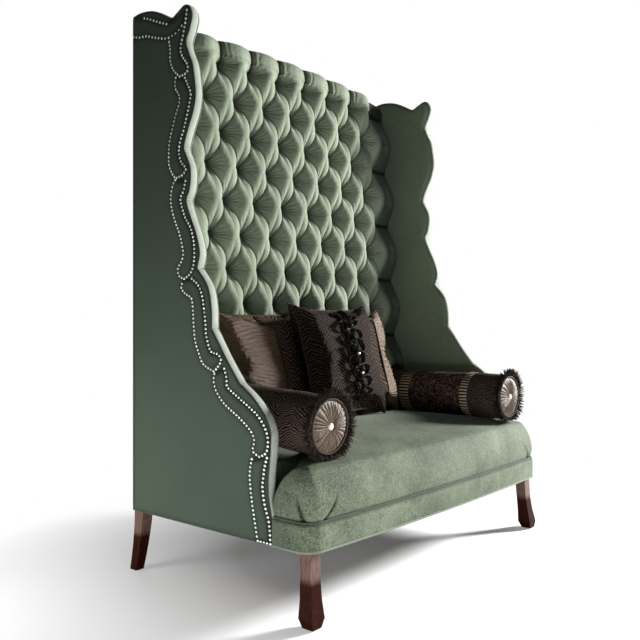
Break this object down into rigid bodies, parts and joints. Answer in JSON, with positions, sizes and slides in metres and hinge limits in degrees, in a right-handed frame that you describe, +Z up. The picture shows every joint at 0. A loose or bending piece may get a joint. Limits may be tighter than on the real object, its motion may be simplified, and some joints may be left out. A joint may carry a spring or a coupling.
{
  "type": "wing-back settee",
  "caption": "Tall settee with a deep-buttoned back between scalloped wings, tight crowned seat, spade-footed front legs, scatter cushions and bolsters.",
  "frame": {"origin": "on the floor, below the middle of the settee's bounding box", "axes": "+Z up, -Y towards the sitter's feet (front), +X to the right seen from the front"},
  "size_m": [1.36, 0.807, 1.808],
  "materials": {
    "timber": "sawn hardwood",
    "plywood": "plain plywood",
    "steel": "plain wire and bolts",
    "felt": "pressed felt",
    "foam": "upholstery foam",
    "velvet": "sage green velvet",
    "velvet_shade": "sage green velvet, pile in shade",
    "dust_cloth": "black dust cloth",
    "mahogany": "dark polished mahogany",
    "glide": "nylon",
    "satin": "tan satin",
    "cocoa": "dark brown cut velvet"
  },
  "bodies": {
    "settee": {"front_rail": "timber", "rear_rail": "timber", "left_side_rail": "timber", "right_side_rail": "timber", "centre_brace": "timber", "corner_blocks": "timber", "left_back_post": "plywood", "right_back_post": "plywood", "top_back_rail": "timber", "middle_back_rails": "timber", "lower_back_rail": "timber", "tufting_board": "plywood", "left_wing_panel": "plywood", "right_wing_panel": "plywood", "seat_springs": "steel", "spring_clips": "steel", "deck_felt": "felt", "seat_foam": "foam", "seat_cover": "velvet", "apron": "velvet", "seat_piping": "velvet_shade", "tufted_back": "velvet", "back_buttons": "velvet_shade", "outside_back": "velvet_shade", "left_wing_cover": "velvet_shade", "right_wing_cover": "velvet_shade", "left_edge_band": "velvet", "right_edge_band": "velvet", "left_wing_pad": "velvet", "right_wing_pad": "velvet", "dust_cover": "dust_cloth", "front_left_leg": "mahogany", "front_right_leg": "mahogany", "rear_left_leg": "mahogany", "rear_right_leg": "mahogany", "leg_bolts": "steel", "floor_glides": "glide"},
    "left_cushion": {"left_cushion": "cocoa"},
    "middle_cushion": {"middle_cushion": "cocoa"},
    "right_cushion": {"right_cushion": "satin"},
    "left_bolster": {"left_bolster": "cocoa", "left_bolster_buttons": "satin"},
    "right_bolster": {"right_bolster": "cocoa", "right_bolster_buttons": "satin"}
  },
  "joints": [
    {"name": "left_cushion_lift", "type": "slide", "parent": "settee", "child": "left_cushion", "axis": [-0.26, 0.058, 0.9639], "range_m": [0, 0.3]},
    {"name": "middle_cushion_lift", "type": "slide", "parent": "settee", "child": "middle_cushion", "axis": [0, 0.0715, 0.9974], "range_m": [0, 0.45]},
    {"name": "right_cushion_lift", "type": "slide", "parent": "settee", "child": "right_cushion", "axis": [0.41, 0.058, 0.9102], "range_m": [0, 0.45]},
    {"name": "left_bolster_lift", "type": "slide", "parent": "settee", "child": "left_bolster", "axis": [0, -0.6, 0.8], "range_m": [0, 0.45]},
    {"name": "right_bolster_lift", "type": "slide", "parent": "settee", "child": "right_bolster", "axis": [0, -0.6, 0.8], "range_m": [0, 0.45]}
  ]
}
